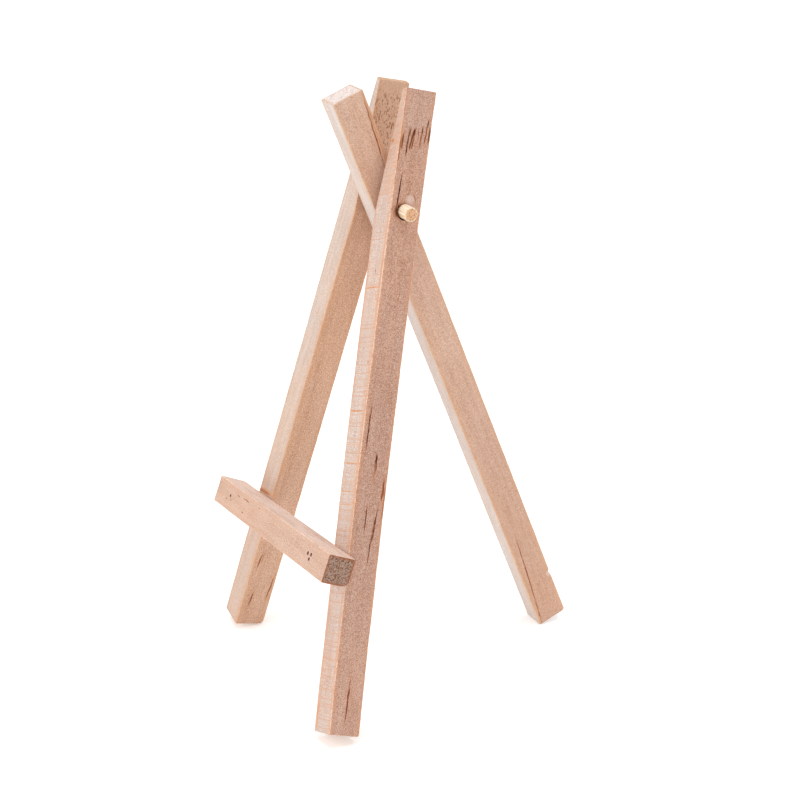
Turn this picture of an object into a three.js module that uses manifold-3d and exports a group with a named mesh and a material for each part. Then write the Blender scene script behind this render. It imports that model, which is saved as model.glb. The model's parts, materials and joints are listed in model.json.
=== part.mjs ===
// Table-top tripod display easel of raw pale softwood, for a small plate, tile or card.
//
// Two splayed front legs and a rear leg turn on one bamboo dowel. The rear leg swings between the
// front legs, whose upper inner faces are sawn away to make room for it. A crossbar pinned across the
// front legs with four headless brads is the ledge that the plate stands on.
//
// Millimetres, +Z up, +X to the viewer's right, +Y away from the viewer. The origin is the middle of
// the footprint box, on the table.

import * as THREE from 'three';
import { mergeVertices } from 'three/addons/utils/BufferGeometryUtils.js';
import Module from 'manifold-3d';

const wasm = await Module();
wasm.setup();

// ---- Driving dimensions -----------------------------------------------------------------------

const ARRIS = 0.25;                    // width of the small flat that eases each long edge

const LEG = {
  width: 8,
  depth: 8,
  ahead: 3.55,                         // from the pivot axis to the front face
  above: 27.4,                         // from the pivot to the top end, along the leg
  below: 125.7,                        // from the pivot to the left foot, along the leg
  offset: 8.85,                        // from the middle to the leg's centre line, on the pivot axis
  splay: 11.5,                         // degrees from upright, seen from the front
};
const LEAN = 12.35;                    // degrees the left leg leans back
const RIGHT_TWIST = 1.3;               // degrees more for the right leg, which is drilled a little askew
const FOOT_SKEW = { left: -3, right: 8.5 };   // degrees off square of the sawn feet
const SLOT = 11.3;                     // clear width between the sawn inner faces

const REAR_LEG = {
  width: 7,
  depth: 8.1,
  ahead: 3.75,
  above: 27.7,
  lean: 21.75,                         // degrees the rear leg leans forward
};

const CROSSBAR = {
  length: 75.7,
  height: 6.95,
  depth: 6.95,
  centre: new THREE.Vector3(-3.3, -8.85, -85.5),   // from the pivot, in the front frame
  pitch: -10.3,                        // degrees, so that the ledge cups the plate
  tilt: -6.7,                          // degrees, right end up
  yaw: -2.5,                           // degrees, following the right leg's twist
};

const DOWEL = {
  radius: 1.7,
  chamfer: 0.2,
  rightEnd: 16.1,                      // 3.2 mm proud of the right leg
  leftEnd: -13.3,
};
const HOLE_RADIUS = 1.85;              // in the front legs, a light push fit
const REAR_HOLE_RADIUS = 2.0;          // in the rear leg, which turns freely

const BRAD = { radius: 0.33, length: 12, recess: 0.15, holeRadius: 0.5 };
const BRADS = [                        // place on the crossbar's front face, and angle towards +X
  { name: 'brad_left', x: -28.0, z: 0.35, angle: 14 },
  { name: 'brad_right_inner', x: 26.7, z: 0.4, angle: 0 },
  { name: 'brad_right_outer', x: 28.6, z: 0.55, angle: 0 },
  { name: 'brad_right_lower', x: 28.1, z: -0.7, angle: 0 },
];

const ROUND = 40;                      // facets around the dowel and its holes
const FAR = 60;                        // reach of the saw cuts

// ---- Materials --------------------------------------------------------------------------------

const material = (color, roughness, metalness = 0) =>
  new THREE.MeshStandardMaterial({ color, roughness, metalness });

const LEG_WOOD = 0xdcb79c;
const CROSSBAR_WOOD = 0xdfbca3;
const BAMBOO = 0xe6c79c;
const STEEL = 0x5a4636;

// ---- Solids -----------------------------------------------------------------------------------

const rad = THREE.MathUtils.degToRad;

function toSolid(geometry, matrix = new THREE.Matrix4()) {
  const bare = geometry.clone().applyMatrix4(matrix);
  bare.deleteAttribute('normal');
  bare.deleteAttribute('uv');
  const merged = mergeVertices(bare, 1e-4);
  return new wasm.Manifold(new wasm.Mesh({
    numProp: 3,
    vertProperties: Float32Array.from(merged.attributes.position.array),
    triVerts: Uint32Array.from(merged.index.array),
  }));
}

function toGeometry(solid) {
  const mesh = solid.getMesh();
  const geometry = new THREE.BufferGeometry();
  geometry.setAttribute('position', new THREE.BufferAttribute(mesh.vertProperties, 3));
  geometry.setIndex(new THREE.BufferAttribute(mesh.triVerts, 1));
  geometry.computeVertexNormals();
  return geometry;
}

/** A square stick with eased long edges, running along Z from `bottom` to `top`. */
function stick(width, depth, bottom, top, ahead = depth / 2) {
  const x = width / 2;
  const outline = new THREE.Shape([
    new THREE.Vector2(x - ARRIS, -ahead),
    new THREE.Vector2(x, ARRIS - ahead),
    new THREE.Vector2(x, depth - ahead - ARRIS),
    new THREE.Vector2(x - ARRIS, depth - ahead),
    new THREE.Vector2(ARRIS - x, depth - ahead),
    new THREE.Vector2(-x, depth - ahead - ARRIS),
    new THREE.Vector2(-x, ARRIS - ahead),
    new THREE.Vector2(ARRIS - x, -ahead),
  ]);
  const geometry = new THREE.ExtrudeGeometry(outline, { depth: top - bottom, bevelEnabled: false });
  return geometry.translate(0, 0, bottom);
}

/** A rod along X with a small chamfer at each end. */
function rod(radius, chamfer, from, to, facets) {
  const profile = [
    new THREE.Vector2(0, from),
    new THREE.Vector2(radius - chamfer, from),
    new THREE.Vector2(radius, from + chamfer),
    new THREE.Vector2(radius, to - chamfer),
    new THREE.Vector2(radius - chamfer, to),
    new THREE.Vector2(0, to),
  ];
  return new THREE.LatheGeometry(profile, facets).rotateZ(-Math.PI / 2);
}

/** A cylinder along X, used as a drill. */
function drill(radius, from, to, facets) {
  const length = to - from;
  const geometry = new THREE.CylinderGeometry(radius, radius, length, facets).rotateZ(-Math.PI / 2);
  return geometry.translate(from + length / 2, 0, 0);
}

const pivotDrill = (radius) => toSolid(drill(radius, -FAR, FAR, ROUND));

// ---- Where everything stands ------------------------------------------------------------------

/** How far a point of a leg leaned back by `lean` degrees lies below the pivot axis. */
const dropOf = (y, z, lean) => y * Math.sin(rad(lean)) - z * Math.cos(rad(lean));

const legBack = LEG.depth - LEG.ahead;
const innerDrop = (LEG.width / 2) * Math.sin(rad(LEG.splay));
const skewDrop = (skew) => (LEG.width / 2) * Math.tan(rad(skew));

// The left leg stands on its foot's inner back corner, which sets the height of the pivot.
const leftDrop = (LEG.below + skewDrop(FOOT_SKEW.left)) * Math.cos(rad(LEG.splay)) + innerDrop;
const pivotHeight = dropOf(legBack, -leftDrop, LEAN);

// The other two legs are as long as it takes to stand level with it.
const rightLean = LEAN + RIGHT_TWIST;
const rightDrop = (pivotHeight - legBack * Math.sin(rad(rightLean))) / Math.cos(rad(rightLean));
const rightBelow = (rightDrop - innerDrop) / Math.cos(rad(LEG.splay)) - skewDrop(FOOT_SKEW.right);
const rearBelow = (pivotHeight - REAR_LEG.ahead * Math.sin(rad(REAR_LEG.lean)))
  / Math.cos(rad(REAR_LEG.lean));

const easel = new THREE.Group();
easel.position.z = pivotHeight;

const frontFrame = new THREE.Group();  // axes: X the pivot, Z up the left leg's plane
frontFrame.rotation.x = -rad(LEAN);
easel.add(frontFrame);

// ---- Crossbar and its brads -------------------------------------------------------------------

const crossbar = new THREE.Mesh(undefined, material(CROSSBAR_WOOD, 0.75));
crossbar.name = 'crossbar';
crossbar.position.copy(CROSSBAR.centre);
crossbar.rotation.set(rad(CROSSBAR.pitch), rad(CROSSBAR.tilt), rad(CROSSBAR.yaw), 'ZYX');
crossbar.updateMatrix();

/** Turns a rod along X so that it runs in from a point of the crossbar's front face. */
function bradMatrix({ x, z, angle }) {
  const turn = new THREE.Matrix4().makeRotationZ(rad(90 - angle));
  turn.setPosition(x, -CROSSBAR.depth / 2, z);
  return turn;
}

const bradStart = BRAD.recess;
const bradEnd = BRAD.recess + BRAD.length;
const bradRod = rod(BRAD.radius, 0.08, bradStart, bradEnd, 12);
const bradDrill = drill(BRAD.holeRadius, -1, bradEnd + 0.3, 12);

let barSolid = toSolid(
  stick(CROSSBAR.height, CROSSBAR.depth, -CROSSBAR.length / 2, CROSSBAR.length / 2)
    .rotateY(Math.PI / 2),
);
for (const brad of BRADS) {
  barSolid = barSolid.subtract(toSolid(bradDrill, bradMatrix(brad)));
  const mesh = new THREE.Mesh(bradRod, material(STEEL, 0.45, 0.9));
  mesh.name = brad.name;
  bradMatrix(brad).premultiply(crossbar.matrix).decompose(mesh.position, mesh.quaternion, mesh.scale);
  frontFrame.add(mesh);
}
crossbar.geometry = toGeometry(barSolid);
frontFrame.add(crossbar);

// ---- Front legs -------------------------------------------------------------------------------

/**
 * One front leg. `side` is -1 for the left and +1 for the right. The leg's own frame has its origin on
 * the pivot axis and Z along the leg, and is splayed in the plane of the front frame.
 */
function frontLeg(name, side, below, skew, twist) {
  const mesh = new THREE.Mesh(undefined, material(LEG_WOOD, 0.75));
  mesh.name = name;
  mesh.position.x = side * LEG.offset;
  mesh.rotation.y = -side * rad(LEG.splay);
  mesh.updateMatrix();
  const toLeg = mesh.matrix.clone().invert();

  const blank = toSolid(stick(LEG.width, LEG.depth, -below - 5, LEG.above, LEG.ahead));

  // The saw cut at the foot, turned off square about the leg's depth.
  const footSaw = new THREE.BoxGeometry(FAR, FAR, FAR).translate(0, 0, -FAR / 2);
  footSaw.rotateY(-side * rad(skew)).translate(0, 0, -below);

  // The slot for the rear leg, square to the pivot axis. It only reaches the leg above the pivot.
  const slot = new THREE.BoxGeometry(FAR, FAR, 4 * FAR).translate(-side * (FAR - SLOT) / 2, 0, 0);

  // The brads were driven with the right leg already twisted, so their path is turned back with it.
  const untwist = new THREE.Matrix4().makeRotationX(rad(twist));
  let solid = blank
    .subtract(toSolid(footSaw))
    .subtract(toSolid(slot, toLeg))
    .subtract(pivotDrill(HOLE_RADIUS).transform(toLeg.elements));
  for (const brad of BRADS) {
    const path = bradMatrix(brad).premultiply(crossbar.matrix).premultiply(untwist).premultiply(toLeg);
    solid = solid.subtract(toSolid(bradDrill, path));
  }
  mesh.geometry = toGeometry(solid);

  const twisted = new THREE.Group();
  twisted.rotation.x = -rad(twist);
  twisted.add(mesh);
  frontFrame.add(twisted);
}

frontLeg('left_front_leg', -1, LEG.below, FOOT_SKEW.left, 0);
frontLeg('right_front_leg', 1, rightBelow, FOOT_SKEW.right, RIGHT_TWIST);

// ---- Rear leg and dowel -----------------------------------------------------------------------

const rearLeg = new THREE.Mesh(
  toGeometry(
    toSolid(stick(REAR_LEG.width, REAR_LEG.depth, -rearBelow, REAR_LEG.above, REAR_LEG.ahead))
      .subtract(pivotDrill(REAR_HOLE_RADIUS)),
  ),
  material(LEG_WOOD, 0.75),
);
rearLeg.name = 'rear_leg';
rearLeg.rotation.x = rad(REAR_LEG.lean);
easel.add(rearLeg);

const dowel = new THREE.Mesh(
  rod(DOWEL.radius, DOWEL.chamfer, DOWEL.leftEnd, DOWEL.rightEnd, ROUND),
  material(BAMBOO, 0.6),
);
dowel.name = 'pivot_dowel';
easel.add(dowel);

// ---- Origin at the middle of the footprint box --------------------------------------------------

easel.updateMatrixWorld(true);
const box = new THREE.Box3().setFromObject(easel, true);
const middle = box.getCenter(new THREE.Vector3());
easel.position.x -= middle.x;
easel.position.y -= middle.y;
easel.position.z -= box.min.z;

export default easel;
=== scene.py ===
import json
import math
import random

import bmesh
import bpy
import numpy as np
from mathutils import Matrix, Vector, kdtree, noise


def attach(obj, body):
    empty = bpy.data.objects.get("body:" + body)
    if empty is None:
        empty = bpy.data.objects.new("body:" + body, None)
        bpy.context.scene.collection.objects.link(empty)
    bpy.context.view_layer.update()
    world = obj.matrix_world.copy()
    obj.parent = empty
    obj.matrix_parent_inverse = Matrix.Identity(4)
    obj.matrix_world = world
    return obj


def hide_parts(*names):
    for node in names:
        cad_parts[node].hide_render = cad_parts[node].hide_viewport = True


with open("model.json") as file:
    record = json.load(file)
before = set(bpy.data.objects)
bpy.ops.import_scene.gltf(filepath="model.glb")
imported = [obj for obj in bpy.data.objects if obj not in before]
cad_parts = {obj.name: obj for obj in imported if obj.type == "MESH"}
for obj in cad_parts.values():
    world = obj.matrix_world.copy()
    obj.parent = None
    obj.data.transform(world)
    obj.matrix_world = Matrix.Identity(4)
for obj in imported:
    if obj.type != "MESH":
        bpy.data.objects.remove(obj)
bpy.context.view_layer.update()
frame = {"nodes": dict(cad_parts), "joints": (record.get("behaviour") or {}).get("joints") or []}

# The looks of a small folding display easel of raw pale wood. Each stick is a mesh in axes of its
# own, in millimetres: X across its face, Y from its front to its back and Z along the grain. One
# matrix puts it in the frame, which is in metres, so that the wood's pattern runs along the stick.

MM = 0.001

# ---- The sticks' axes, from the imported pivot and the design's angles -----------------------------

SPLAY = 11.5                       # degrees, each front leg from upright
LEAN = 12.35                       # degrees, the front frame leans back
RIGHT_TWIST = 1.3                  # degrees more for the right leg
REAR_LEAN = 21.75                  # degrees, the rear leg leans forward
LEG_OFFSET = 8.85                  # a front leg's centre line from the middle, on the pivot axis
SLOT_HALF = 5.65                   # from the middle to a front leg's sawn inner face
FOOT_SKEW = {"left": -3.0, "right": 8.5}    # degrees off square
BAR_CENTRE = (-3.3, -8.85, -85.5)  # from the pivot, in the front frame's axes
BAR_TURN = {"X": -10.3, "Y": -6.7, "Z": -2.5}


def turn(degrees, axis):
    return Matrix.Rotation(math.radians(degrees), 4, axis)


def shift(x, y, z):
    return Matrix.Translation(Vector((x, y, z)) * MM)


PIVOT = Matrix.Translation(Vector(frame["joints"][0]["pos_m"]))
FRONT = PIVOT @ turn(-LEAN, "X")
LEFT_LEG = FRONT @ shift(-LEG_OFFSET, 0, 0) @ turn(SPLAY, "Y")
RIGHT_LEG = FRONT @ turn(-RIGHT_TWIST, "X") @ shift(LEG_OFFSET, 0, 0) @ turn(-SPLAY, "Y")
REAR_LEG = PIVOT @ turn(REAR_LEAN, "X")
BAR_PLAIN = FRONT @ shift(*BAR_CENTRE) @ turn(BAR_TURN["Z"], "Z") @ turn(BAR_TURN["Y"], "Y") \
    @ turn(BAR_TURN["X"], "X")
BAR = BAR_PLAIN @ turn(90, "Y")    # Z along the bar to the right, X down


def reach(node, matrix):
    """Lowest and highest corner of a CAD node in the axes of `matrix`, in millimetres."""
    inverse = matrix.inverted()
    points = np.array([(inverse @ v.co) / MM for v in frame["nodes"][node].data.vertices])
    return points.min(0), points.max(0)


# ---- Number helpers ------------------------------------------------------------------------------

def smooth(start, end, x):
    t = np.clip((x - start) / (end - start), 0, 1)
    return t * t * (3 - 2 * t)


def ripple(points, spacing, seed):
    """Smooth noise from about -1 to 1 at each point, with bumps `spacing` apart along each axis."""
    scaled = points / np.array(spacing, float)
    offset = Vector((seed * 7.31, seed * 3.77, seed * 5.13))
    return np.array([noise.noise(Vector(p) + offset) for p in scaled])


# ---- Stick meshes --------------------------------------------------------------------------------

ROW_STEP = 0.35                    # along the stick
ARC_STEPS = 4                      # round each arris
SIDE_STOPS = np.array([0.02, 0.07, 0.16, 0.27, 0.385, 0.5, 0.615, 0.73, 0.84, 0.93, 0.98])
SIDE_NEAR = np.clip(0.34 - 2.0 * np.minimum(SIDE_STOPS, 1 - SIDE_STOPS), 0, 1)
END_STOPS = (0.08, 0.24, 0.4, 0.54, 0.67, 0.78, 0.87, 0.94, 0.98)
END_EASE = 0.1                     # how much the edge round each sawn end is worn back
END_RIM = (0.25, 0.6, 0.9)         # nearness to the rim on the outer rings of an end
SAWN_ARRIS = 0.1                   # radius of the fresh arrises beside a slot's sawn wall
NICK_LEVEL, NICK_GAIN = 0.42, 1.6  # how rare and how deep the nicks in an arris are
PLANED = ((0.05, (6, 6, 22)), (0.018, (1.1, 1.1, 5)), (0.007, (0.6, 0.6, 1.2)))  # height, spacing
SAW_PITCH, SAW_DEPTH, TORN_DEPTH = 7, 0.02, 0.035
SKEW_REACH = 12                    # how far up the leg a foot's skew is spread
BREAK_ROUGH = 0.12                 # unevenness of a broken corner
CORNERS = ((-1, -1, 180), (1, -1, 270), (1, 1, 0), (-1, 1, 90))    # side in X and Y, start of arc


def sections(low_x, high_x, low_y, high_y, radii):
    """Rounded rectangles, one per row: points, outward normals and nearness to an arris."""
    arcs = []
    for k, (side_x, side_y, start) in enumerate(CORNERS):
        r = radii[:, k]
        x = low_x + r if side_x < 0 else high_x - r
        y = low_y + r if side_y < 0 else high_y - r
        arc = []
        for step in range(ARC_STEPS + 1):
            angle = math.radians(start + 90 * step / ARC_STEPS)
            across, back = math.cos(angle), math.sin(angle)
            spot = np.stack([x + r * across, y + r * back], 1)
            arc.append((spot, (across, back), 0.35 + 0.65 * math.sin(math.pi * step / ARC_STEPS)))
        arcs.append(arc)
    ring = []
    for k, arc in enumerate(arcs):
        ring += arc
        (a, normal, _), (b, _, _) = arc[-1], arcs[(k + 1) % 4][0]
        ring += [(a + (b - a) * t, normal, near) for t, near in zip(SIDE_STOPS, SIDE_NEAR)]
    points = np.stack([spot for spot, _, _ in ring], 1)
    normals = np.array([normal for _, normal, _ in ring])
    return points, normals, np.array([near for _, _, near in ring])


def grid_faces(rows, ring):
    """Quads between successive rings, and a fan from a middle point at each end."""
    faces = []
    for i in range(rows - 1):
        for j in range(ring):
            k = (j + 1) % ring
            faces.append((i * ring + j, i * ring + k, (i + 1) * ring + k, (i + 1) * ring + j))
    first, last = rows * ring, rows * ring + 1
    top = (rows - 1) * ring
    for j in range(ring):
        k = (j + 1) % ring
        faces.append((first, k, j))
        faces.append((last, top + j, top + k))
    return faces


class Stick:
    """One square stick, worked as arrays of points in its own axes before it becomes a mesh."""

    def __init__(self, low, high, seed, arris=0.28, slot=None):
        self.seed = seed
        self.low, self.high = np.array(low, float), np.array(high, float)
        z = np.arange(self.low[2] + END_EASE, self.high[2] - END_EASE, ROW_STEP)
        z = np.concatenate([[self.low[2]], z, [self.high[2] - END_EASE, self.high[2]]])
        rows = len(z)
        low_x, high_x = np.full(rows, self.low[0]), np.full(rows, self.high[0])
        radii = np.empty((rows, 4))
        for k in range(4):
            along = np.stack([np.full(rows, 9.0 * k), np.zeros(rows), z], 1)
            wear = 1 + 0.45 * ripple(along, (1, 1, 6), seed)
            wear += 0.3 * ripple(along, (1, 1, 1.5), seed + 1)
            nick = np.clip(ripple(along, (1, 1, 3.2), seed + 2) - NICK_LEVEL, 0, 1) * NICK_GAIN
            radii[:, k] = arris * np.clip(wear, 0.45, 2) + nick * arris
        if slot:
            side, wall = slot
            cut = wall(z)
            if side > 0:
                low_x = np.maximum(low_x, cut)
                sawn = cut > self.low[0]
                radii[:, (0, 3)] = np.where(sawn[:, None], SAWN_ARRIS, radii[:, (0, 3)])
            else:
                high_x = np.minimum(high_x, cut)
                sawn = cut < self.high[0]
                radii[:, (1, 2)] = np.where(sawn[:, None], SAWN_ARRIS, radii[:, (1, 2)])
        flat, normals, near = sections(low_x, high_x, self.low[1], self.high[1], radii)
        ring = flat.shape[1]
        middle = flat.mean(1, keepdims=True)

        def level(row, share, height):
            spot = middle[row] + (flat[row] - middle[row]) * share
            return np.column_stack([spot, np.full(ring, height)])

        ease = 1 - END_EASE / min(self.high[0] - self.low[0], self.high[1] - self.low[1]) * 2
        bottom = [level(0, s * ease, z[0]) for s in END_STOPS] + [level(0, ease, z[0])]
        body = [np.column_stack([flat[i], np.full(ring, z[i])]) for i in range(1, rows - 1)]
        top_gap = 1 - END_EASE / max(high_x[-1] - low_x[-1], 1) * 1.2
        top = [level(-1, top_gap, z[-1])] + [level(-1, s * top_gap, z[-1]) for s in END_STOPS[::-1]]
        self.points = np.concatenate(bottom + body + top)
        self.rows, self.ring = len(bottom) + len(body) + len(top), ring
        side_normal = np.column_stack([normals, np.zeros(ring)])
        down, up = np.tile((0, 0, -1.0), (ring, 1)), np.tile((0, 0, 1.0), (ring, 1))
        self.normals = np.concatenate(
            [down] * len(bottom) + [side_normal] * len(body) + [up] * len(top))
        inner = [np.full(ring, 0.0)] * (len(bottom) - 1 - len(END_RIM))
        inner += [np.full(ring, share) for share in END_RIM]
        rim = [np.full(ring, 1.0)]
        self.near = np.concatenate(inner + rim + [near] * len(body) + rim + inner[::-1])
        for end in (bottom[0], top[-1]):
            self.points = np.vstack([self.points, end.mean(0)])
        self.normals = np.vstack([self.normals, (0, 0, -1), (0, 0, 1)])
        self.near = np.append(self.near, (0, 0))

    def push(self, amount):
        self.points += self.normals * np.asarray(amount)[:, None]

    def skew_foot(self, degrees, hang):
        """Turns the bottom end off square about the depth; `hang` lowers its right back corner."""
        share = 1 - smooth(0, SKEW_REACH, self.points[:, 2] - self.low[2])
        corner = smooth(-2, 4, self.points[:, 0]) * smooth(-3, 4.4, self.points[:, 1])
        drop = hang * corner - self.points[:, 0] * math.tan(math.radians(degrees))
        self.points[:, 2] -= drop * share

    def roughen(self):
        """Long unevenness from planing, short roughness of raw wood, and saw marks on the ends."""
        p, seed = self.points.copy(), self.seed
        sides = np.abs(self.normals[:, 2]) < 0.5
        for k, (height, spacing) in enumerate(PLANED):
            self.push(np.where(sides, height * ripple(p, spacing, seed + 3 + k), 0))
        teeth = SAW_DEPTH * np.sin(p[:, 0] * SAW_PITCH + 0.8 * ripple(p, (2, 2, 2), seed + 6))
        torn = TORN_DEPTH * ripple(p, (0.5, 0.5, 0.5), seed + 7)
        self.push(np.where(sides, 0, teeth + torn))

    def bevel(self, point, normal):
        """Breaks a corner away behind a plane through `point`."""
        normal = np.array(normal, float) / np.linalg.norm(normal)
        beyond = (self.points - np.array(point, float)) @ normal
        uneven = BREAK_ROUGH * ripple(self.points, (0.8, 0.8, 0.8), self.seed + 8)
        beyond += uneven * (beyond > -0.3)
        self.points -= np.clip(beyond, 0, None)[:, None] * normal

    def chip(self, centre, radius, depth):
        """Breaks a small shallow scoop out of an arris."""
        away = self.points - np.array(centre, float)
        share = np.clip(1 - (away ** 2).sum(1) / radius ** 2, 0, 1)
        share *= 1 + 0.5 * ripple(self.points, (0.5, 0.5, 0.9), self.seed + 9)
        self.push(-depth * share)

    def bend(self, offset):
        """Moves each row by offset(z), an (x, y) pair."""
        x, y = offset(self.points[:, 2])
        self.points[:, 0] += x
        self.points[:, 1] += y

    def build(self, name, matrix):
        mesh = bpy.data.meshes.new(name)
        mesh.from_pydata((self.points * MM).tolist(), [], grid_faces(self.rows, self.ring))
        piece = bpy.data.objects.new(name, mesh)
        bpy.context.scene.collection.objects.link(piece)
        piece.matrix_world = matrix
        return piece


def mark_arris(piece, stick):
    """Writes how near each vertex is to a long edge, taken from the closest of the stick's points.

    It comes after the last hole is drilled, because a boolean changes the vertices.
    """
    tree = kdtree.KDTree(len(stick.points))
    for i, point in enumerate(stick.points * MM):
        tree.insert(point, i)
    tree.balance()
    values = [float(stick.near[tree.find(v.co)[1]]) for v in piece.data.vertices]
    layer = piece.data.attributes.new("arris", "FLOAT", "POINT")
    layer.data.foreach_set("value", values)


def lathe(name, matrix, profile, facets, wobble=None):
    """A closed round piece along Z from (radius, z) pairs in millimetres, none on the axis."""
    points = []
    for radius, z in profile:
        for k in range(facets):
            angle = 2 * math.pi * k / facets
            r = radius + (wobble(angle, z) if wobble else 0)
            points.append((r * math.cos(angle), r * math.sin(angle), z))
    points.append((0, 0, profile[0][1]))
    points.append((0, 0, profile[-1][1]))
    mesh = bpy.data.meshes.new(name)
    mesh.from_pydata([Vector(p) * MM for p in points], [], grid_faces(len(profile), facets))
    piece = bpy.data.objects.new(name, mesh)
    bpy.context.scene.collection.objects.link(piece)
    piece.matrix_world = matrix
    return piece


def drill(piece, radius, start, end, matrix):
    """Bores a round hole along the Z of `matrix`, from start to end, and applies it."""
    cutter = lathe("cutter", matrix, [(radius, start), (radius, end)], 48)
    boolean = piece.modifiers.new("bore", "BOOLEAN")
    boolean.operation = "DIFFERENCE"
    boolean.solver = "EXACT"
    boolean.object = cutter
    bpy.context.view_layer.update()
    depsgraph = bpy.context.evaluated_depsgraph_get()
    bored = bpy.data.meshes.new_from_object(piece.evaluated_get(depsgraph), depsgraph=depsgraph)
    piece.modifiers.clear()
    piece.data = bored
    bpy.data.objects.remove(cutter)


FIBRE_LENGTH = (0.4, 1.1)
FIBRE_RINGS = ((-0.3, 0.05), (0.35, 0.04), (0.75, 0.028))    # share of the length, radius
FIBRE_ARRIS = 0.4                  # the fibres' nearness to an arris, for their tone


def fuzz(piece, roots, seed):
    """Adds fine broken fibres, each a thin closed spike from a (point, direction) pair."""
    draw = random.Random(seed)
    mesh = bmesh.new()
    mesh.from_mesh(piece.data)
    layer = mesh.verts.layers.float.get("arris")
    for root, way in roots:
        way = (Vector(way) + Vector([draw.uniform(-0.5, 0.5) for _ in range(3)])).normalized()
        across = way.orthogonal().normalized()
        reach_out = draw.uniform(*FIBRE_LENGTH)
        bend = across * draw.uniform(-0.25, 0.25) * reach_out
        rings = []
        for t, width in FIBRE_RINGS:
            centre = Vector(root) + way * reach_out * t + bend * max(t, 0) ** 2
            spokes = [Matrix.Rotation(k * math.tau / 4, 3, way) @ across * width for k in range(4)]
            rings.append([mesh.verts.new((centre + spoke) * MM) for spoke in spokes])
        tip = mesh.verts.new((Vector(root) + way * reach_out + bend) * MM)
        for lower, upper in zip(rings, rings[1:]):
            for k in range(4):
                n = (k + 1) % 4
                mesh.faces.new((lower[k], lower[n], upper[n], upper[k]))
        for k in range(4):
            mesh.faces.new((rings[-1][k], rings[-1][(k + 1) % 4], tip))
        mesh.faces.new(rings[0][::-1])
        for vert in [v for ring in rings for v in ring] + [tip]:
            vert[layer] = FIBRE_ARRIS
    mesh.to_mesh(piece.data)
    mesh.free()


SHARP_ANGLE = 38                   # degrees between faces from which an edge is shaded sharp


def finish_piece(piece, material, body, slot, *nodes):
    piece.data.materials.clear()
    piece.data.materials.append(material)
    piece.data.shade_smooth()
    piece.data.set_sharp_from_angle(angle=math.radians(SHARP_ANGLE))
    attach(piece, body)
    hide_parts(*nodes)


# ---- Shader helpers ------------------------------------------------------------------------------

def tone(code):
    """Linear colour of a six-digit hex code."""
    parts = [int(code[k:k + 2], 16) / 255 for k in (0, 2, 4)]
    return tuple(c / 12.92 if c < 0.04045 else ((c + 0.055) / 1.055) ** 2.4 for c in parts) + (1,)


SHADE_SPREAD = (0.8, 1.12, 1.34)   # how strongly a shade changes red, green and blue


class Shader:
    """Writes a node tree as nested calls. A value is a number, a tuple or an output socket."""

    def __init__(self, name):
        self.material = bpy.data.materials.new(name)
        self.material.use_nodes = True
        self.tree = self.material.node_tree
        self.tree.nodes.clear()
        place = self.tree.nodes.new("ShaderNodeTexCoord")
        self.spot = self.vector("SCALE", place.outputs["Object"], scale=1 / MM)
        self.normal = place.outputs["Normal"]

    def add(self, kind, inputs, out=0, **settings):
        node = self.tree.nodes.new(kind)
        for key, value in settings.items():
            setattr(node, key, value)
        for key, value in inputs.items():
            if isinstance(value, bpy.types.NodeSocket):
                self.tree.links.new(value, node.inputs[key])
            else:
                node.inputs[key].default_value = value
        return node.outputs[out]

    def math(self, operation, a, b=0.0, clamp=False):
        return self.add("ShaderNodeMath", {0: a, 1: b}, operation=operation, use_clamp=clamp)

    def vector(self, operation, a, b=(0, 0, 0), scale=1.0, out=0):
        if isinstance(a, tuple):
            a = a[:3]
        return self.add("ShaderNodeVectorMath", {0: a, 1: b, 3: scale}, out, operation=operation)

    def split(self, value):
        node = self.tree.nodes.new("ShaderNodeSeparateXYZ")
        self.tree.links.new(value, node.inputs[0])
        return node.outputs

    def step(self, value, start, end, low=0.0, high=1.0):
        """Smooth step of `value` from start to end, scaled to run from low to high."""
        inputs = {"Value": value, "From Min": start, "From Max": end, "To Min": low, "To Max": high}
        return self.add("ShaderNodeMapRange", inputs, interpolation_type="SMOOTHSTEP")

    def cloud(self, stretch, detail=2.0, rough=0.5, seed=0.0, wander=0.0):
        """Noise in millimetres; `stretch` is the size of its features along each axis."""
        inverse = tuple(1 / s for s in stretch)
        spot = self.vector("MULTIPLY", self.spot, inverse)
        spot = self.vector("ADD", spot, (seed * 3.1, seed * 5.7, seed * 1.9))
        inputs = {"Vector": spot, "Scale": 1.0, "Detail": detail, "Roughness": rough,
                  "Distortion": wander}
        return self.add("ShaderNodeTexNoise", inputs)

    def mix(self, factor, a, b):
        inputs = {0: factor, 6: a, 7: b}
        return self.add("ShaderNodeMix", inputs, 2, data_type="RGBA", clamp_factor=True)

    def total(self, values, operation="ADD"):
        result = values[0]
        for value in values[1:]:
            result = self.math(operation, result, value)
        return result

    def shaded(self, colour, shade):
        """Scales a colour, more in green and blue than in red, as wood does where it is darker."""
        gain = self.vector("SCALE", SHADE_SPREAD, scale=shade)
        gain = self.vector("ADD", gain, tuple(1 - share for share in SHADE_SPREAD))
        return self.vector("MULTIPLY", colour, gain)

    def attribute(self, name):
        return self.add("ShaderNodeAttribute", {}, "Fac", attribute_name=name)

    def finish(self, colour, roughness, height, distance, specular=0.3, metallic=0.0, glow=0.0):
        bump = self.add("ShaderNodeBump", {
            "Height": height, "Distance": distance * MM, "Strength": 1.0})
        surface = self.add("ShaderNodeBsdfPrincipled", {
            "Base Color": colour, "Roughness": roughness, "Normal": bump,
            "Specular IOR Level": specular, "Metallic": metallic, "Emission Strength": glow})
        output = self.tree.nodes.new("ShaderNodeOutputMaterial")
        self.tree.links.new(surface, output.inputs["Surface"])
        return self.material


# ---- Wood ----------------------------------------------------------------------------------------

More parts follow.
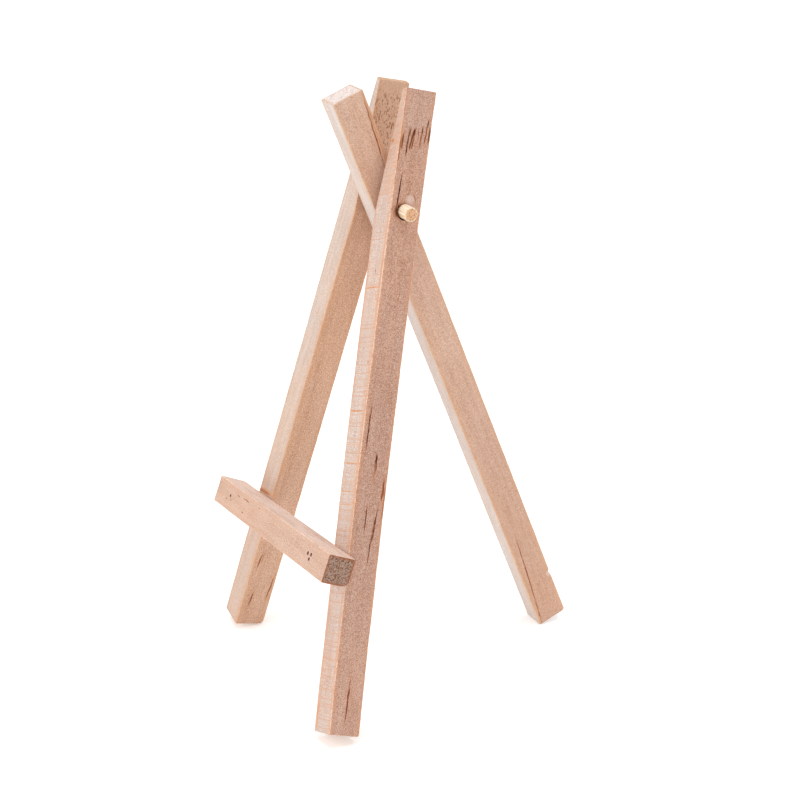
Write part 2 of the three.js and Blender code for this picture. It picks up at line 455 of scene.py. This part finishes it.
class Mark:
    """A streak in a stick's own millimetres: `u` is Y on the right face and X on the front."""

    def __init__(self, kind, u, z, half_width, half_length, slant=0.0, strength=1.0, face="right"):
        self.kind, self.u, self.z = kind, u, z
        self.half_width, self.half_length = half_width, half_length
        self.slant, self.strength, self.face = slant, strength, face


MARK_EDGE, MARK_CORE = 1.35, 0.45  # a mark starts and is full at these shares of its half sizes
MARK_DEPTH = 1e4                   # far enough in to reach through the whole stick
MARK_WAIT = 1e-7                   # millimetres
FLECK_TONE, BLOT_TONE, CHATTER_TONE = "905a35", "dc9f78", "cf9c80"
CHATTER_LINES = ((0.5, 0.3, 0.55), (1.05, 0.17, 0.9))       # spacing, half width as a share, weight
MARK_TONES = {                     # fringe and core
    "dark": ("a0603f", "3d1306"),
    "rust": ("c58d6c", "854024"),
    "amber": ("dba47a", "c98450"),
    "pale": ("dcbfb1", "e0c8bb"),
    # light is painted light: a paler tone laid over a face that is in shade
    "light": ("e4c1a6", "e4c1a6"),
}


def wood(name, tones, seed, marks, grit, pith=(-30.0, 16.0), ring=2.6, flecks=(), chatter=0.0,
         pored=0.2, bow=None):
    """Raw sanded wood. tones: front, side, end, edge, crest of an arris and rim of an end.

    grit: how strong the speckle of sanding is on the side faces and on the front. flecks: face,
    lowest z, highest z, middle u, half width and strength.
    """
    s = Shader(name)
    x, y, z = s.split(s.spot)
    nx, ny, nz = s.split(s.normal)
    faces = {
        "front": s.step(s.math("MULTIPLY", ny, -1), 0.45, 0.8),
        "right": s.step(nx, 0.4, 0.75),
    }
    ends = s.step(s.math("ABSOLUTE", nz), 0.6, 0.85)

    # Broad, streaky and fine changes of tone.
    front, side, end, edge, crest, rim = (tone(t) for t in tones)
    colour = s.mix(faces["front"], side, front)
    warm = s.step(s.cloud((9, 9, 34), detail=3, seed=seed), 0.35, 0.7)
    colour = s.mix(s.math("MULTIPLY", warm, 0.22), colour, edge)
    blotch = s.cloud((5, 5, 12), detail=2, seed=seed + 1)
    fibre = s.cloud((0.5, 0.5, 9), detail=4, rough=0.6, seed=seed + 2, wander=0.15)
    speckle = s.cloud((0.23, 0.23, 0.27), detail=2, rough=0.8, seed=seed + 3)
    fine = s.cloud((0.13, 0.13, 0.16), detail=1, seed=seed + 4)
    seen = s.math("ADD", faces["front"], faces["right"], clamp=True)
    sanded = s.step(faces["front"], 0.0, 1.0, *grit)
    sanded = s.math("MULTIPLY", sanded, s.step(seen, 0.0, 1.0, 0.6, 1.0))
    grained = s.step(seen, 0.0, 1.0, 2.2, 1.0)

    # Growth rings about a pith off to one side, which wander along the stick.
    drift = s.cloud((7, 7, 40), detail=2, seed=seed + 5)
    from_pith = s.vector("SUBTRACT", s.spot, (pith[0], pith[1], 0))
    from_pith = s.vector("MULTIPLY", from_pith, (1, 1, 0))
    distance = s.vector("LENGTH", from_pith, out=1)
    distance = s.math("ADD", distance, s.math("MULTIPLY", drift, ring * 2.2))
    phase = s.math("FRACT", s.math("DIVIDE", distance, ring))
    late = s.math("MULTIPLY", s.step(phase, 0.35, 0.94), s.step(phase, 1.0, 0.955))

    shade = s.total([
        s.step(blotch, 0.2, 0.8, 0.95, 1.05),
        s.math("MULTIPLY", s.step(fibre, 0.3, 0.7, -0.05, 0.035), grained),
        s.math("MULTIPLY", s.step(speckle, 0.36, 0.64, -0.29, 0.25), sanded),
        s.math("MULTIPLY", s.step(fine, 0.33, 0.67, -0.25, 0.23), sanded),
        s.total([late, grained, -0.05], "MULTIPLY"),
    ])
    colour = s.shaded(colour, shade)

    # Marks, broken up by the fibre so that none has a drawn outline.
    wobble = s.cloud((1.3, 1.3, 2.2), detail=2, seed=seed + 6)
    sway = s.math("MULTIPLY", s.math("SUBTRACT", wobble, 0.5), 0.55)
    swayed = s.vector("ADD", s.spot, s.add("ShaderNodeCombineXYZ", {0: sway, 1: sway, 2: 0.0}))
    frayed = s.cloud((0.3, 0.3, 1.6), detail=3, rough=0.7, seed=seed + 7)
    frayed = s.step(frayed, 0.28, 0.5, 0.45, 1.0)
    pit = 0.0
    here = swayed
    for kind, (fringe, core) in MARK_TONES.items():
        for face, mask in faces.items():
            found = [m for m in marks if m.kind == kind and m.face == face]
            if not found:
                continue
            cover = 0.0
            for m in found:
                push = bow(m.z)[1 if face == "right" else 0] if bow else 0.0
                u = m.u + float(push)
                slant = math.radians(m.slant)
                inputs = {"Vector": here}
                if face == "right":
                    inputs |= {"Location": (0, u, m.z), "Rotation": (slant, 0, 0),
                               "Scale": (MARK_DEPTH, m.half_width, m.half_length)}
                else:
                    inputs |= {"Location": (u, 0, m.z), "Rotation": (0, slant, 0),
                               "Scale": (m.half_width, MARK_DEPTH, m.half_length)}
                inside = s.add("ShaderNodeMapping", inputs, vector_type="TEXTURE")
                inside = s.vector("LENGTH", inside, out=1)
                spot = s.step(inside, MARK_EDGE, MARK_CORE, 0.0, m.strength)
                cover = s.math("MAXIMUM", cover, spot)
                # A negligible shift makes the next mark wait for this one, which keeps the shader's
                # stack small enough for any number of marks.
                here = s.add("ShaderNodeVectorMath", {0: cover, 1: (MARK_WAIT,) * 3, 2: swayed},
                             operation="MULTIPLY_ADD")
            cover = s.math("MULTIPLY", cover, mask)
            cover = s.math("MULTIPLY", cover, frayed, clamp=True)
            colour = s.mix(s.math("MULTIPLY", cover, 1.4), colour, tone(fringe))
            colour = s.mix(s.step(cover, 0.4, 0.9), colour, tone(core))
            if kind in ("dark", "rust"):
                pit = s.math("ADD", pit, cover)

    # Short dark flecks where the grain rises through the face.
    for face, start, finish, middle, half, strength in flecks:
        fleck = s.cloud((0.34, 0.34, 0.85), detail=2, rough=0.65, seed=seed + 8)
        fleck = s.step(fleck, 0.525, 0.63)
        zone = s.math(
            "MULTIPLY", s.step(z, start - 2, start + 2), s.step(z, finish + 2, finish - 2))
        across = s.math("ABSOLUTE", s.math("SUBTRACT", y if face == "right" else x, middle))
        side_zone = s.step(across, half + 0.8, half - 0.8)
        cover = s.total([fleck, zone, side_zone, faces[face]], "MULTIPLY")
        cover = s.math("MULTIPLY", cover, strength)
        colour = s.mix(cover, colour, tone(FLECK_TONE))
        pit = s.math("ADD", pit, s.math("MULTIPLY", cover, 0.5))

    # Planer chatter: fine cross lines at uneven spacing on the front face.
    if chatter:
        blot = s.step(s.cloud((1.0, 1.0, 0.8), detail=3, rough=0.7, seed=seed + 15), 0.48, 0.66)
        blotted = s.total([blot, faces["front"], 0.3 * chatter], "MULTIPLY")
        colour = s.mix(blotted, colour, tone(BLOT_TONE))
        curve = s.math("MULTIPLY", s.math("MULTIPLY", x, x), -0.018)
        lean = s.math("MULTIPLY", x, -0.13)
        stray = s.math("MULTIPLY", s.cloud((6, 6, 7), detail=2, seed=seed + 9), 0.45)
        along = s.total([z, curve, lean, stray])
        patchy = s.step(s.cloud((4.0, 4.0, 1.6), detail=2, seed=seed + 10), 0.25, 0.55, 0.45, 1.0)
        for spacing, width, weight in CHATTER_LINES:
            node = s.tree.nodes.new("ShaderNodeTexVoronoi")
            node.voronoi_dimensions = "1D"
            node.inputs["Scale"].default_value = 1 / spacing
            node.inputs["Randomness"].default_value = 0.85
            s.tree.links.new(along, node.inputs["W"])
            grey = s.math("POWER", s.split(node.outputs["Color"])[0], 1.15)
            line = s.math("MULTIPLY", s.step(node.outputs["Distance"], width, width * 0.15), grey)
            cover = s.total([line, patchy, faces["front"]], "MULTIPLY")
            cover = s.math("MULTIPLY", cover, chatter * weight)
            colour = s.mix(cover, colour, tone(CHATTER_TONE))
            pit = s.math("ADD", pit, s.math("MULTIPLY", cover, 0.25))

    # Sawn end grain: mottled, with open pores and the rings showing.
    pores = s.step(s.cloud((0.32, 0.32, 0.32), detail=2, rough=0.8, seed=seed + 11), 0.46, 0.6)
    mottle = s.cloud((0.36, 0.36, 0.36), detail=2, rough=0.7, seed=seed + 12)
    grain = s.shaded(end, s.total([
        s.step(mottle, 0.38, 0.62, 1 - 0.4 * pored, 1 + 0.6 * pored),
        s.math("MULTIPLY", pores, -pored), s.math("MULTIPLY", late, -0.07)]))
    colour = s.mix(ends, colour, grain)

    # Arrises: a pale crest between two uneven warm bands, and rubbed end rims. The crest is partly
    # worn wood and partly a painted highlight along the rounded edge.
    near = s.attribute("arris")
    rubbed = s.step(s.cloud((1.2, 1.2, 3.5), detail=3, seed=seed + 13), 0.3, 0.65, 0.2, 1.0)
    band = s.math("MULTIPLY", s.step(near, 0.02, 0.3), rubbed)
    band = s.math("MULTIPLY", band, s.step(faces["front"], 0.0, 1.0, 0.36, 0.42))
    colour = s.mix(band, colour, s.mix(ends, edge, rim))
    patchy = s.cloud((0.8, 0.8, 1.1), detail=3, rough=0.7, seed=seed + 14)
    patchy = s.step(patchy, 0.4, 0.62, 0.1, 0.85)
    # Pale crest: worn wood with a painted highlight on top of it.
    worn_and_highlit = s.total([s.step(near, 0.5, 0.9), s.step(ends, 1.0, 0.0), patchy], "MULTIPLY")
    colour = s.mix(worn_and_highlit, colour, crest)
    rimmed = s.total(
        [s.step(near, 0.0, 0.6), ends, s.step(rubbed, 0.2, 0.8, 0.55, 1.0)], "MULTIPLY")
    colour = s.mix(rimmed, colour, rim)

    height = s.total([
        s.math("MULTIPLY", fibre, 0.5), s.math("MULTIPLY", speckle, 0.35),
        s.math("MULTIPLY", fine, 0.25), s.math("MULTIPLY", pit, -1.2),
        s.math("MULTIPLY", s.math("MULTIPLY", pores, ends), -1.0)])
    roughness = s.step(speckle, 0.2, 0.8, 0.62, 0.8)
    return s.finish(colour, roughness, height, 0.05, specular=0.12)


def bamboo(name):
    """Bamboo turned to a dowel: long fine fibres, and bundles that show as dots on the ends."""
    s = Shader(name)
    nz = s.split(s.normal)[2]
    ends = s.step(s.math("ABSOLUTE", nz), 0.6, 0.85)
    fibre = s.cloud((0.2, 0.2, 12), detail=3, rough=0.6)
    band = s.cloud((0.6, 0.6, 30), detail=2, seed=2)
    speck = s.cloud((0.26, 0.26, 0.7), detail=2, seed=3)
    shade = s.total([s.step(fibre, 0.3, 0.7, 0.92, 1.04), s.step(speck, 0.3, 0.7, -0.05, 0.04)])
    veins = s.step(s.cloud((0.3, 0.3, 14), detail=2, rough=0.6, seed=4), 0.48, 0.62, 0.0, 0.85)
    colour = s.vector("SCALE", s.mix(veins, tone("f3e5d6"), tone("dfbd86")), scale=shade)
    radius = s.vector("LENGTH", s.vector("MULTIPLY", s.spot, (1, 1, 0)), out=1)
    core = s.step(radius, 1.6, 1.25)
    bundles = s.tree.nodes.new("ShaderNodeTexVoronoi")
    bundles.inputs["Scale"].default_value = 1.8
    s.tree.links.new(s.vector("MULTIPLY", s.spot, (1, 1, 0.02)), bundles.inputs["Vector"])
    dots = s.step(bundles.outputs["Distance"], 0.4, 0.2)
    face = s.mix(core, tone("efd6a2"), tone("deac86"))
    face = s.mix(s.math("MULTIPLY", dots, 0.85), face, tone("a5683f"))
    face = s.vector("SCALE", face, scale=s.step(speck, 0.3, 0.7, 0.84, 1.12))
    colour = s.mix(ends, colour, face)
    height = s.total([fibre, s.math("MULTIPLY", dots, -0.4)])
    return s.finish(colour, s.step(band, 0.3, 0.7, 0.42, 0.58), height, 0.03, specular=0.4)


def tarnished_steel(name):
    s = Shader(name)
    rust = s.step(s.cloud((0.25, 0.25, 0.5), detail=3, rough=0.7), 0.42, 0.62)
    draw = s.cloud((0.05, 0.05, 2.0), detail=2, seed=1)
    colour = s.mix(rust, tone("b0602a"), tone("6b2c0c"))
    colour = s.vector("SCALE", colour, scale=s.step(draw, 0.3, 0.7, 0.85, 1.1))
    return s.finish(colour, s.step(rust, 0.0, 1.0, 0.6, 0.85), draw, 0.01, specular=0.1)


# ---- The three legs ------------------------------------------------------------------------------

BOW = (-0.1, -0.6)                 # sideways and forward, at its middle
BOW_MIDDLE, BOW_HALF = -49.15, 76.55


def right_bow(z):
    """The right leg is bowed forward a little between its ends."""
    share = 1 - ((np.asarray(z, float) - BOW_MIDDLE) / BOW_HALF) ** 2
    return BOW[0] * share, BOW[1] * share


def slot_wall(side):
    """Where the slot's wall, upright in the frame, crosses a splayed leg: x for each z."""
    sine, cosine = math.sin(math.radians(SPLAY)), math.cos(math.radians(SPLAY))
    return lambda z: side * (SLOT_HALF - LEG_OFFSET + z * sine) / cosine


DOWEL_HOLE = 1.95                  # radii
REAR_HOLE = 2.0
THROUGH = 40                       # far enough each way to cut right through the legs
HOLE_AXIS = PIVOT @ turn(90, "Y")
HOLE_SLACK = shift(0, -0.12, -0.14)    # how far the worn front holes sit from the dowel's axis
BRAD_HOLES = {                         # along the bar, across its front face, degrees off square
    "brad_left": (-28.0, 0.35, 14.0),
    "brad_right_inner": (26.7, 0.4, 0.0),
    "brad_right_outer": (28.6, 0.55, 0.0),
    "brad_right_lower": (28.1, -0.7, 0.0),
}
BRAD_RADIUS, BRAD_HEAD = 0.33, 0.42
BRAD_HOLE, BAR_HOLE = 0.42, 0.52   # radii in the legs and in the bar
BRAD_LENGTH, BRAD_RECESS = 12.0, 0.22
BAR_HALF = 3.475                   # half the bar's depth


def brad_axis(name):
    """The brad's own axes: Z runs from the bar's front face into the leg behind it."""
    along, up, angle = BRAD_HOLES[name]
    return BAR_PLAIN @ shift(along, -BAR_HALF, up) @ turn(-angle, "Z") @ turn(-90, "X")


LEG_HALF = 4


def front_leg(name, node, matrix, side, skew, brads, seed, material, chips, tufts, bow=None,
              hang=0.0):
    low, high = reach(node, matrix)
    low[2] += abs(math.tan(math.radians(skew))) * LEG_HALF
    low[0], high[0] = -LEG_HALF, LEG_HALF
    stick = Stick(low, high, seed, slot=(side, slot_wall(side)))
    stick.roughen()
    stick.skew_foot(side * skew, hang)
    for point, normal in chips:
        stick.bevel(point, normal)
    if bow:
        stick.bend(bow)
    piece = stick.build(name, matrix)
    drill(piece, DOWEL_HOLE, -THROUGH, THROUGH, HOLE_SLACK @ HOLE_AXIS)
    for brad in brads:
        drill(piece, BRAD_HOLE, -1, BRAD_LENGTH + 0.8, brad_axis(brad))
    mark_arris(piece, stick)
    fuzz(piece, tufts, seed)
    finish_piece(piece, material, "front_frame", "leg_wood", node)


def foot_tufts(low, count, seed):
    """Roots for the torn fibres round a sawn foot."""
    draw = random.Random(seed)
    roots = []
    for _ in range(count):
        y = draw.uniform(-3.2, 4.0)
        roots.append(((LEG_HALF - 0.25, y, low + 0.3), (0.9, draw.uniform(-0.4, 0.4), -0.8)))
    return roots


# Front, side, end, edge, crest and rim, as in wood().
LEFT_TONES = ("d1c0b5", "d5b199", "d9b79c", "d79d6f", "d9ae8a", "d2a27e")
RIGHT_TONES = ("d0c0b7", "c4a08f", "d9b9a2", "d9976a", "ecccb6", "cfa287")
REAR_TONES = ("d3c9c4", "d8b5a1", "e9dcd8", "dba980", "dfbd98", "d5bba8")
LEFT_MARKS = [
    Mark("rust", -1.25, -117.4, 0.2, 2.6, -8, 0.9),
    Mark("dark", -1.1, -118.4, 0.13, 1.5, -8, 0.5),
    Mark("rust", -1.8, -105.4, 0.2, 3.2, -6, 0.8),
    Mark("rust", -1.1, -104.2, 0.15, 2.4, -6, 0.6),
    Mark("rust", 3.4, -113.8, 0.22, 4.8, -4, 0.8),
    # Painted contact shadow: a dark line and a warm painted shade band on the front face, along where
    # the crossbar's top back edge meets the leg.
    Mark("rust", -1.0, -86.7, 4.0, 0.5, -18.5, 0.95, "front"),
    Mark("dark", -1.2, -87.0, 3.4, 0.26, -18.5, 0.9, "front"),
    Mark("amber", 0.2, -86.0, 5.0, 1.0, -18.5, 0.4, "front"),
    Mark("rust", -0.3, -60.0, 0.22, 2.6, -5, 0.35),
    Mark("rust", -1.5, -48.0, 0.22, 3.0, -4, 0.3),
    Mark("amber", 0.0, -118.0, 6.0, 34.0, 0, 0.14, "front"),
    Mark("dark", 0.0, -120.0, 6.0, 34.0, 0, 0.07, "front"),
    Mark("dark", 0.4, -122.0, 8.0, 24.0, 0, 0.08),
    # Painted light: a paler patch on the upper right face, against the shade that the other legs cast
    # there.
    Mark("light", 0.2, 19.5, 8.0, 9.0, 0, 0.5),
    Mark("dark", 0.4, -22.0, 8.0, 22.0, 0, 0.04),
    Mark("amber", -1.6, -42.0, 0.45, 4.0, 5, 0.35, "front"),
    Mark("amber", 0.4, -33.0, 0.3, 2.2, 5, 0.4, "front"),
]
RIGHT_MARKS = [
    Mark("rust", -0.6, 15.6, 3.4, 2.2, -6, 0.16),
    Mark("rust", -3.2, 13.4, 0.25, 4.2, -3, 0.8),
    Mark("dark", -2.7, 15.2, 0.25, 2.2, -3, 0.95),
    Mark("dark", -1.0, 17.3, 0.17, 1.3, -4, 0.7),
    Mark("dark", -1.35, 15.0, 0.24, 3.4, -3, 0.95),
    Mark("dark", -0.05, 17.1, 0.38, 1.4, -5, 1.0),
    Mark("dark", -0.5, 15.3, 0.26, 2.1, -8, 1.0),
    Mark("rust", 0.0, 15.0, 0.26, 1.9, -6, 0.8),
    Mark("rust", 1.1, 17.2, 0.18, 1.9, -1, 0.7),
    Mark("dark", 2.1, 17.7, 0.24, 1.8, -3, 0.7),
    Mark("rust", 1.9, 15.7, 0.25, 1.9, -2, 0.85),
    Mark("dark", 3.3, 19.7, 0.24, 1.3, -4, 0.9),
    Mark("rust", 3.1, 17.2, 0.24, 2.8, -2, 0.85),
    Mark("dark", 4.0, 17.2, 0.26, 2.2, -2, 0.85),
    Mark("dark", -1.9, 2.9, 0.2, 5.2, -2.5, 1.0),
    # Painted shade: a dark ring round the dowel's hole, standing in for the shadow in the gap round
    # the dowel.
    Mark("dark", -0.85, -0.8, 1.95, 1.95, 0, 0.9),
    Mark("dark", -2.15, -51.9, 0.2, 6.2, -1, 0.8),
    Mark("dark", 0.8, -60.0, 0.34, 2.6, 0, 1.0),
    Mark("rust", 0.7, -62.0, 0.24, 2.8, 0, 0.6),
    Mark("dark", -0.2, -73.2, 0.2, 3.6, -1, 0.8),
    Mark("dark", 1.75, -79.5, 0.18, 5.2, -3, 0.75),
    Mark("dark", 2.35, -74.5, 0.24, 5.0, -4, 0.75),
    Mark("rust", 3.5, -66.0, 0.3, 3.4, -2, 0.95),
    Mark("dark", 3.7, -65.8, 0.17, 2.6, 6, 0.85),
    Mark("rust", 4.1, -70.0, 0.25, 5.2, -1, 0.75),
    Mark("rust", 0.35, -116.8, 0.22, 6.4, -0.5, 1.0),
    Mark("dark", 0.3, -117.5, 0.12, 4.5, -0.5, 0.7),
    Mark("amber", -3.1, -121.5, 0.35, 4.2, 0, 0.7, "front"),
    Mark("amber", -3.6, -98.0, 0.15, 20.0, 0, 0.5, "front"),
    Mark("rust", 2.4, 2.7, 0.13, 1.2, 22, 0.8),
    Mark("pale", 1.3, 2.1, 1.1, 1.15, 15, 0.6),
    Mark("amber", 0.7, 15.1, 0.75, 0.5, 0, 1.0, "front"),
    Mark("dark", 0.5, -15.3, 0.14, 0.7, -18, 0.8, "front"),
    Mark("dark", 2.3, -36.5, 0.2, 0.4, -18, 0.7, "front"),
    Mark("amber", -0.5, -48.3, 4.5, 0.2, -7.5, 0.9, "front"),
    Mark("amber", -0.5, -19.2, 4.5, 0.18, -7.5, 0.8, "front"),
    Mark("amber", -0.5, -56.3, 4.5, 0.12, -7.5, 0.5, "front"),
    Mark("amber", -0.5, -60.7, 4.5, 0.15, -7.5, 0.8, "front"),
    Mark("amber", -0.5, -65.0, 4.5, 0.11, -7.5, 0.4, "front"),
    Mark("amber", -0.5, -67.4, 4.5, 0.16, -7.5, 0.7, "front"),
    Mark("amber", -0.5, -70.6, 4.5, 0.12, -7.5, 0.6, "front"),
    Mark("amber", -0.5, -73.7, 4.5, 0.11, -7.5, 0.4, "front"),
    Mark("amber", -0.5, -76.9, 4.5, 0.13, -7.5, 0.6, "front"),
    Mark("amber", -0.5, -82.0, 4.5, 0.12, -7.5, 0.6, "front"),
    Mark("dark", 0.4, -62.0, 8.0, 26.0, 0, 0.08),
    Mark("amber", 1.9, -30.0, 0.2, 34.0, 0, 0.3, "front"),
    Mark("rust", 3.3, -16.0, 0.16, 11.0, 0, 0.55, "front"),
    Mark("rust", 3.5, -50.0, 0.16, 9.0, 0, 0.5, "front"),
    Mark("amber", 3.4, -30.0, 1.2, 80.0, 0, 0.2, "front"),
    Mark("amber", 2.0, 16.0, 2.6, 14.0, 0, 0.12, "front"),
    Mark("amber", 1.2, 5.0, 1.6, 2.4, 0, 0.3, "front"),
]
REAR_MARKS = [
    Mark("rust", -1.9, -113.5, 0.2, 15.0, -4, 0.75),
    Mark("rust", -2.0, -116.0, 0.22, 5.0, -4, 0.5),
    Mark("rust", -2.8, -125.6, 0.2, 6.0, -5, 0.75),
    Mark("rust", 3.2, 17.5, 0.2, 11.0, -4, 0.8),
    Mark("amber", 3.9, 17.0, 0.5, 12.0, -4, 0.35),
    Mark("rust", 3.75, 18.5, 0.13, 10.0, -2, 0.6),
    Mark("dark", 0.4, -100.0, 8.0, 50.0, 0, 0.12),
    Mark("dark", 1.15, -86.0, 0.2, 0.35, 0, 0.5),
    Mark("pale", 3.65, -116.7, 0.6, 0.9, 0, 1.0),
]


def legs():
    left = wood("left_leg_wood", LEFT_TONES, 3.0, LEFT_MARKS, grit=(0.9, 0.5),
                flecks=[("right", 11, 25, 0, 4.5, 0.8)])
    right = wood("right_leg_wood", RIGHT_TONES, 11.0, RIGHT_MARKS, pith=(26.0, -20.0),
                 flecks=[("right", -3.2, -0.6, -1.0, 1.9, 1.0)], chatter=1.0, grit=(1.0, 0.75),
                 bow=right_bow)
    rear = wood("rear_leg_wood", REAR_TONES, 19.0, REAR_MARKS, pith=(-20.0, -38.0),
                grit=(0.62, 0.5))
    front_leg("left_leg_stick", "left_front_leg", LEFT_LEG, -1, FOOT_SKEW["left"],
              ["brad_left"], 5, left,
              chips=[((4, 3.2, -125.7), (0.2, 0.8, -1)), ((4, -3.3, -125.7), (0.3, -0.8, -1))],
              tufts=foot_tufts(-125.4, 5, 5))
    front_leg("right_leg_stick", "right_front_leg", RIGHT_LEG, 1, FOOT_SKEW["right"],
              ["brad_right_inner", "brad_right_outer", "brad_right_lower"], 6, right,
              chips=[((4, 4.2, -125.3), (0.2, 0.9, -0.8))], tufts=foot_tufts(-124.8, 9, 6),
              bow=right_bow, hang=0.6)

    low, high = reach("rear_leg", REAR_LEG)
    stick = Stick(low, high, 7)
    stick.roughen()
    stick.bevel((3.5, 3.6, low[2]), (0.2, 0.8, -1))
    stick.chip((3.5, 4.35, -116.7), 1.0, 0.35)
    piece = stick.build("rear_leg_stick", REAR_LEG)
    drill(piece, REAR_HOLE, -THROUGH, THROUGH, HOLE_AXIS)
    mark_arris(piece, stick)
    finish_piece(piece, rear, "rear_leg", "leg_wood", "rear_leg")


# ---- Crossbar, brads and dowel -------------------------------------------------------------------

BAR_TONES = ("cdac99", "e3cdc2", "a98b7b", "d9ae93", "ead3c4", "a5694e")


def bar_marks():
    """Stained and pale wood round each brad hole, and a few pits. Across the bar, X runs down."""
    found = []
    for along, up, _ in BRAD_HOLES.values():
        found.append(Mark("dark", -up, along, 0.7, 0.7, 0, 0.85, "front"))
        found.append(Mark("pale", -up, along, 0.85, 0.95, 0, 0.55, "front"))
    for across, along in ((1.4, -13.0), (-0.6, -11.2), (-2.4, -30.0), (-1.2, 3.0), (0.9, -33.5)):
        found.append(Mark("amber", across, along, 0.14, 0.7, 4, 0.7, "front"))
    for across, along, half_length in (
            (-1.6, -22.6, 0.7), (-1.9, -18.6, 0.6), (-1.9, -16.6, 1.8), (-2.2, -8.0, 0.5),
            (-2.8, -3.5, 0.4), (0.5, -26.9, 0.4), (1.0, -30.1, 0.5), (1.4, -17.4, 0.5)):
        found.append(Mark("rust", across, along, 0.17, half_length, 4, 0.85, "front"))
    return found


def crossbar():
    material = wood("crossbar_wood", BAR_TONES, 27.0, bar_marks(), pith=(40.0, 12.0), ring=3.4,
                    pored=0.55, grit=(0.8, 0.85))
    low, high = reach("crossbar", BAR)
    stick = Stick(low, high, 8, arris=0.22)
    stick.roughen()
    stick.bevel((high[0], high[1] - 2.6, high[2]), (2.5, 0.55, 0.35))
    stick.bevel((high[0], high[1] - 1.1, high[2]), (0.8, 0.9, 0.6))
    piece = stick.build("ledge_stick", BAR)
    for name in BRAD_HOLES:
        drill(piece, BAR_HOLE, -1, 12, brad_axis(name))
    mark_arris(piece, stick)
    finish_piece(piece, material, "front_frame", "crossbar_wood", "crossbar")


def brads():
    steel = tarnished_steel("brad_steel")
    for name in BRAD_HOLES:
        tip = BRAD_RECESS + BRAD_LENGTH
        profile = [(0.2, BRAD_RECESS), (0.34, BRAD_RECESS + 0.03), (BRAD_HEAD, BRAD_RECESS + 0.12),
                   (BRAD_HEAD, 0.9), (BRAD_RADIUS, 1.4), (BRAD_RADIUS, 4.0), (BRAD_RADIUS, 8.0),
                   (BRAD_RADIUS, tip - 1.2), (0.05, tip)]
        piece = lathe("wire_" + name, brad_axis(name), profile, 20,
                      lambda angle, z: 0.012 * math.sin(3 * angle + 5 * z))
        finish_piece(piece, steel, "front_frame", "brad_steel", name)


def dowel():
    low, high = reach("pivot_dowel", HOLE_AXIS)
    radius, chamfer = (high[0] - low[0]) / 2, 0.2
    stops = [0.3, 0.6, 0.85]
    left, right = low[2], high[2]
    profile = [(radius * s, left) for s in stops]
    profile += [(radius - chamfer, left), (radius, left + chamfer)]
    count = int((right - left) / 0.8)
    plain = right - left - 2 * chamfer
    profile += [(radius, left + chamfer + plain * k / count) for k in range(1, count)]
    profile += [(radius, right - chamfer), (radius - chamfer, right)]
    profile += [(radius * s, right) for s in reversed(stops)]

    def wobble(angle, z):
        spot = Vector((math.cos(angle) * 1.6, math.sin(angle) * 1.6, z / 9))
        return 0.03 * noise.noise(spot) + 0.012 * noise.noise(spot * 5)

    piece = lathe("bamboo_dowel", HOLE_AXIS, profile, 64, wobble)
    finish_piece(piece, bamboo("dowel_bamboo"), "front_frame", "bamboo", "pivot_dowel")


# ---- Camera, floor and light ---------------------------------------------------------------------

CAMERA_AT = (0.38864, -0.19047, 0.23205)
CAMERA_AZIMUTH, CAMERA_ELEVATION, CAMERA_ROLL = 64.379, 20.686, -0.179    # degrees
CAMERA_LENS = 83.07                # millimetres on a 36 mm sensor


def camera():
    data = bpy.data.cameras.new("camera")
    data.lens = CAMERA_LENS
    data.sensor_width = 36
    data.clip_start = 0.01
    view = bpy.data.objects.new("camera", data)
    bpy.context.scene.collection.objects.link(view)
    view.matrix_world = Matrix.Translation(CAMERA_AT) @ turn(CAMERA_AZIMUTH, "Z") \
        @ turn(90 - CAMERA_ELEVATION, "X") @ turn(CAMERA_ROLL, "Z")
    bpy.context.scene.camera = view


FLOOR_HALF = 3                     # metres
FLOOR_COLOUR, FLOOR_GLOW = (0.9, 0.9, 0.9), 0.3
SKY_COLOUR, SKY_STRENGTH = (1.0, 0.99, 0.98, 1), 0.66
LIGHTS = (                         # name, place and size in metres, watts, colour
    ("key", (-0.1, -1.2, 0.8), 1.0, 6, (0.97, 0.985, 1.0)),
    ("overhead", (0.1, 0.1, 1.5), 1.4, 12, (1.0, 0.99, 0.975)),
)
LIT_POINT = (0, 0, 0.08)


def floor():
    mesh = bmesh.new()
    bmesh.ops.create_grid(mesh, x_segments=40, y_segments=40, size=FLOOR_HALF)
    data = bpy.data.meshes.new("floor")
    mesh.to_mesh(data)
    mesh.free()
    ground = bpy.data.objects.new("floor", data)
    bpy.context.scene.collection.objects.link(ground)
    s = Shader("floor_paper")
    tooth = s.cloud((4, 4, 4), detail=3)
    colour = s.vector("SCALE", FLOOR_COLOUR, scale=s.step(tooth, 0.2, 0.8, 0.98, 1.0))
    data.materials.append(s.finish(colour, 0.9, tooth, 0.05, specular=0.1, glow=FLOOR_GLOW))


def area_light(name, place, size, power, colour):
    data = bpy.data.lights.new(name, "AREA")
    data.shape = "DISK"
    data.size = size
    data.energy = power
    data.color = colour
    lamp = bpy.data.objects.new(name, data)
    bpy.context.scene.collection.objects.link(lamp)
    lamp.location = place
    lamp.rotation_euler = (Vector(LIT_POINT) - Vector(place)).to_track_quat("-Z", "Y").to_euler()


def light():
    world = bpy.data.worlds.new("studio")
    world.use_nodes = True
    sky = world.node_tree.nodes["Background"]
    sky.inputs["Color"].default_value = SKY_COLOUR
    sky.inputs["Strength"].default_value = SKY_STRENGTH
    bpy.context.scene.world = world
    for settings in LIGHTS:
        area_light(*settings)
    bpy.context.scene.view_settings.view_transform = "Standard"


camera()
legs()
crossbar()
brads()
dowel()
floor()
light()
